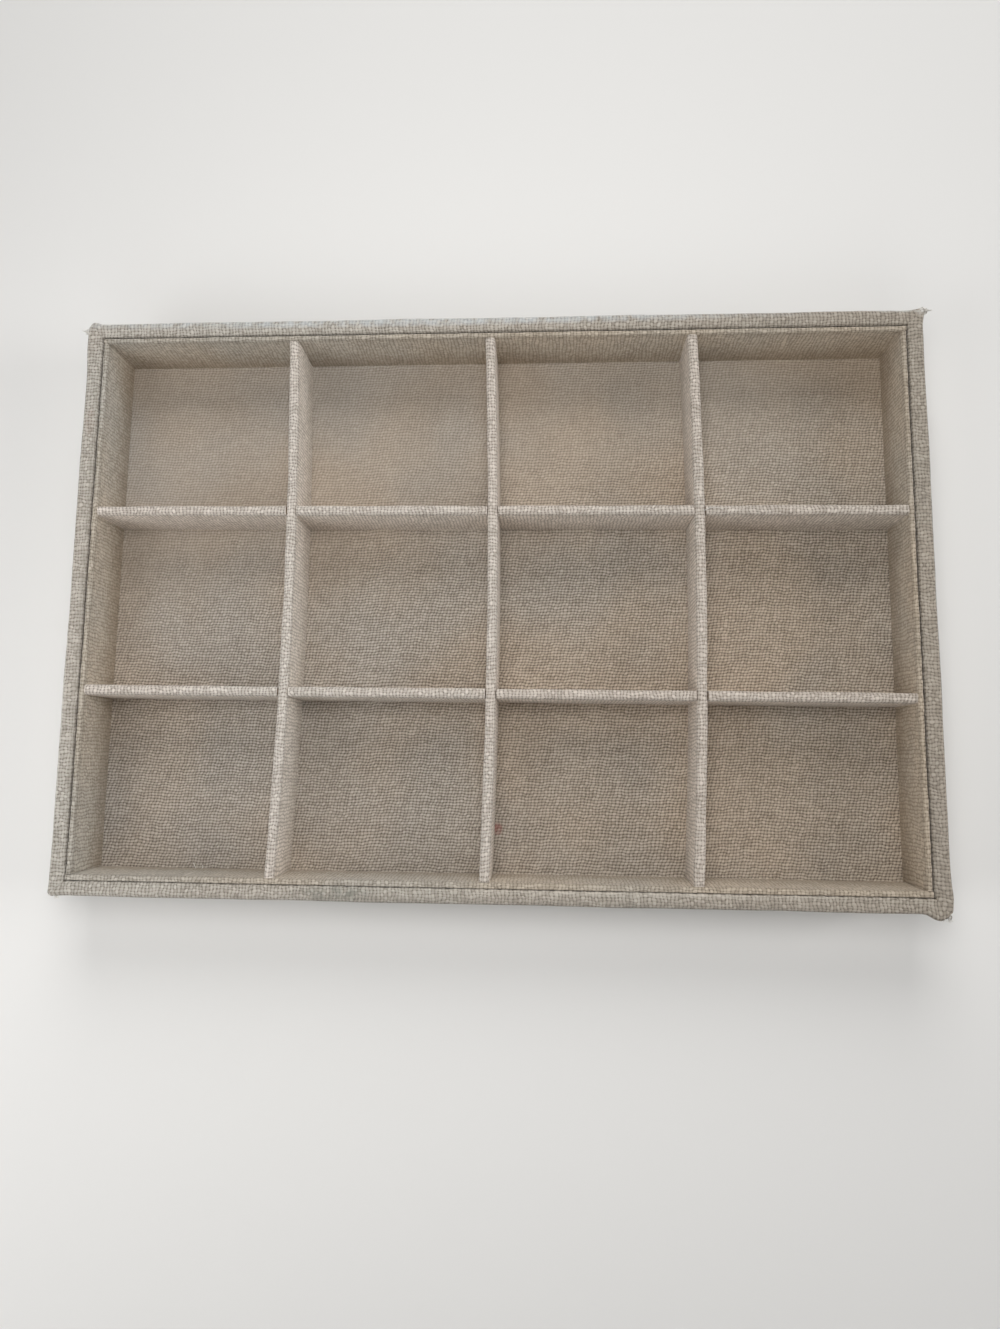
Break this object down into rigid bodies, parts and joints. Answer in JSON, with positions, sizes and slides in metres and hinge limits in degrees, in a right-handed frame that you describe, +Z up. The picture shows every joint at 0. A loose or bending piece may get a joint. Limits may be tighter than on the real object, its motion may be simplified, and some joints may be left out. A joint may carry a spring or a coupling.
{
  "type": "jewelry tray",
  "caption": "Shallow rectangular display tray of linen-wrapped boards, with covered dividers halved into a grid of open compartments.",
  "frame": {"origin": "centre of the underside, on the surface that the tray rests on", "axes": "+X along the long side, +Y across it from the front to the back, +Z up out of the compartments"},
  "size_m": [0.35, 0.24, 0.03],
  "materials": {
    "wrap_linen": "coarse plain-weave linen, matte",
    "liner_linen": "coarse plain-weave linen, matte",
    "divider_linen": "coarse plain-weave linen, matte",
    "floor_linen": "coarse plain-weave linen, matte",
    "fibreboard": "raw medium-density fibreboard",
    "greyboard": "raw grey card",
    "felt": "thin needled felt, matte"
  },
  "bodies": {
    "root": {"back_liner_card": "greyboard", "back_liner_linen": "liner_linen", "back_wall_board": "fibreboard", "back_wall_wrap": "wrap_linen", "base_board": "fibreboard", "cross_divider_board_1": "fibreboard", "cross_divider_board_2": "fibreboard", "cross_divider_board_3": "fibreboard", "cross_divider_linen_1": "divider_linen", "cross_divider_linen_2": "divider_linen", "cross_divider_linen_3": "divider_linen", "floor_card": "greyboard", "floor_linen": "floor_linen", "front_liner_card": "greyboard", "front_liner_linen": "liner_linen", "front_wall_board": "fibreboard", "front_wall_wrap": "wrap_linen", "left_liner_card": "greyboard", "left_liner_linen": "liner_linen", "left_wall_board": "fibreboard", "left_wall_wrap": "wrap_linen", "long_divider_board_1": "fibreboard", "long_divider_board_2": "fibreboard", "long_divider_linen_1": "divider_linen", "long_divider_linen_2": "divider_linen", "right_liner_card": "greyboard", "right_liner_linen": "liner_linen", "right_wall_board": "fibreboard", "right_wall_wrap": "wrap_linen", "underside_felt": "felt"}
  },
  "joints": []
}
